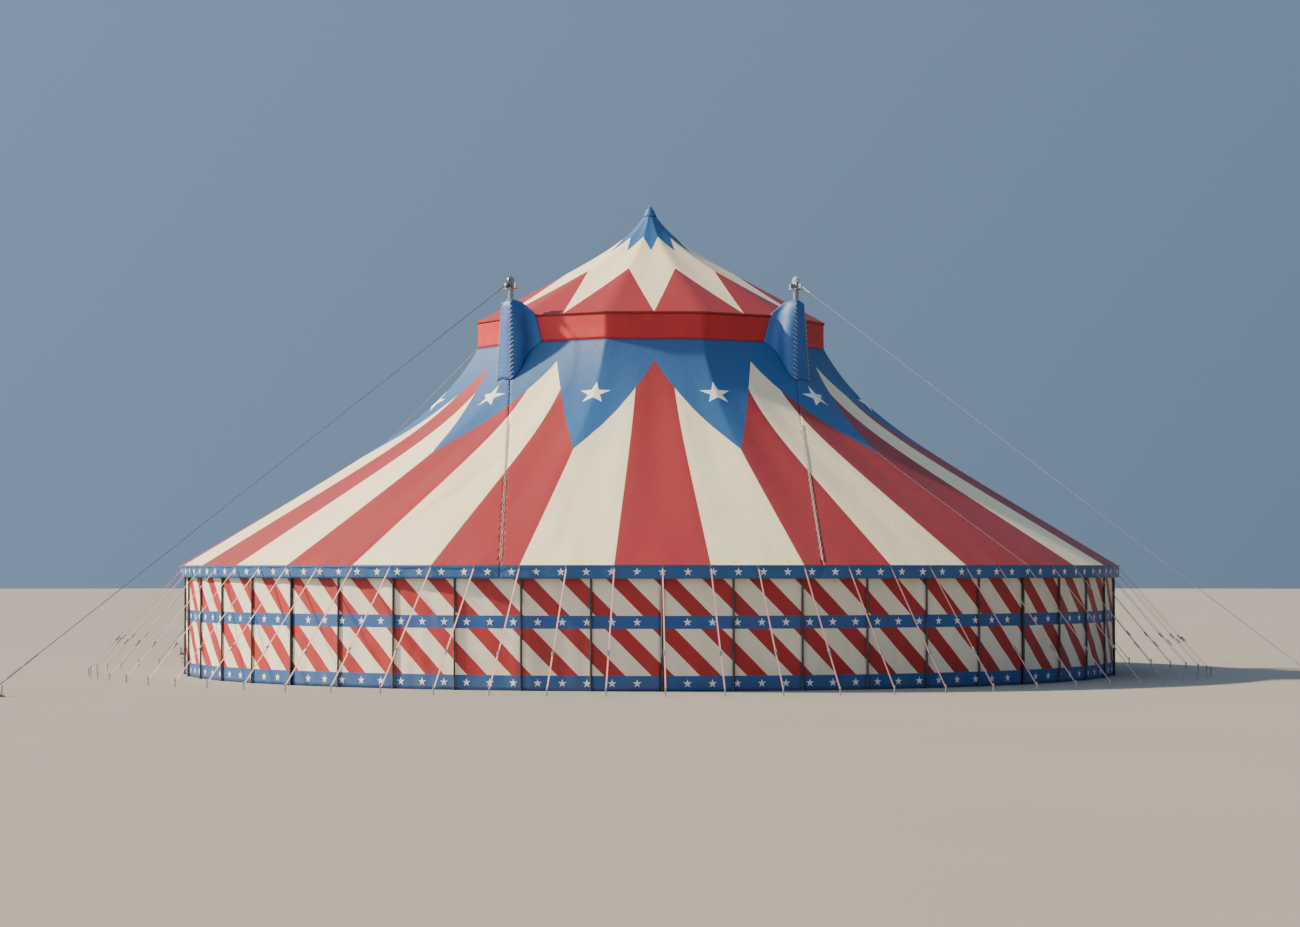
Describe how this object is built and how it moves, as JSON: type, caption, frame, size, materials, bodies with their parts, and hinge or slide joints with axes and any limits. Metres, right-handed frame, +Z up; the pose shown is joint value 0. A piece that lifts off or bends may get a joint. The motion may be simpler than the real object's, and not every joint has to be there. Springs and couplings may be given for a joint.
{
  "type": "circus big top tent",
  "caption": "Round circus big top with a star collar and cupola hung on king poles, striped curtain walls, side poles, guy straps and stays, built at full size.",
  "frame": {"origin": "on the ground, under the peak of the cupola", "axes": "+Z up, -Y towards the front, +X to the right seen from the front"},
  "size_m": [39.26, 39.1879, 16.64],
  "materials": {
    "canopy_pvc": "satin coated cloth, red and cream gores with a blue star collar",
    "band_pvc": "satin coated cloth",
    "cupola_pvc": "satin coated cloth, cream with red triangles and a blue cap",
    "hood_pvc": "satin coated cloth",
    "wall_pvc": "satin coated cloth, red and cream diagonal stripes between blue bands",
    "galvanised_steel": "dull zinc",
    "painted_steel": "semi-matt paint",
    "pole_steel": "semi-matt paint",
    "steel_rope": "laid wire rope",
    "webbing": "woven polyester, red and white"
  },
  "bodies": {
    "root": {"canopy_front": "canopy_pvc", "canopy_right": "canopy_pvc", "canopy_back": "canopy_pvc", "canopy_left": "canopy_pvc", "cupola_ring": "galvanised_steel", "cupola_frame": "galvanised_steel", "cupola_band": "band_pvc", "cupola_roof": "cupola_pvc", "peak_cap": "painted_steel", "king_pole_front_right": "galvanised_steel", "king_pole_back_right": "galvanised_steel", "king_pole_back_left": "galvanised_steel", "king_pole_front_left": "galvanised_steel", "mast_base_front_right": "painted_steel", "mast_base_back_right": "painted_steel", "mast_base_back_left": "painted_steel", "mast_base_front_left": "painted_steel", "mast_head_front_right": "galvanised_steel", "mast_head_back_right": "galvanised_steel", "mast_head_back_left": "galvanised_steel", "mast_head_front_left": "galvanised_steel", "mast_hood_front_right": "hood_pvc", "mast_hood_back_right": "hood_pvc", "mast_hood_back_left": "hood_pvc", "mast_hood_front_left": "hood_pvc", "main_stay_front_right": "steel_rope", "main_stay_back_right": "steel_rope", "main_stay_back_left": "steel_rope", "main_stay_front_left": "steel_rope", "side_poles_front": "pole_steel", "guy_straps_front": "webbing", "side_poles_right": "pole_steel", "guy_straps_right": "webbing", "side_poles_back": "pole_steel", "guy_straps_back": "webbing", "side_poles_left": "pole_steel", "guy_straps_left": "webbing", "wall_front_right": "wall_pvc", "wall_right_front": "wall_pvc", "wall_right_back": "wall_pvc", "wall_back_right": "wall_pvc", "wall_back_left": "wall_pvc", "wall_left_back": "wall_pvc", "wall_left_front": "wall_pvc", "wall_front_left": "wall_pvc"}
  },
  "joints": []
}
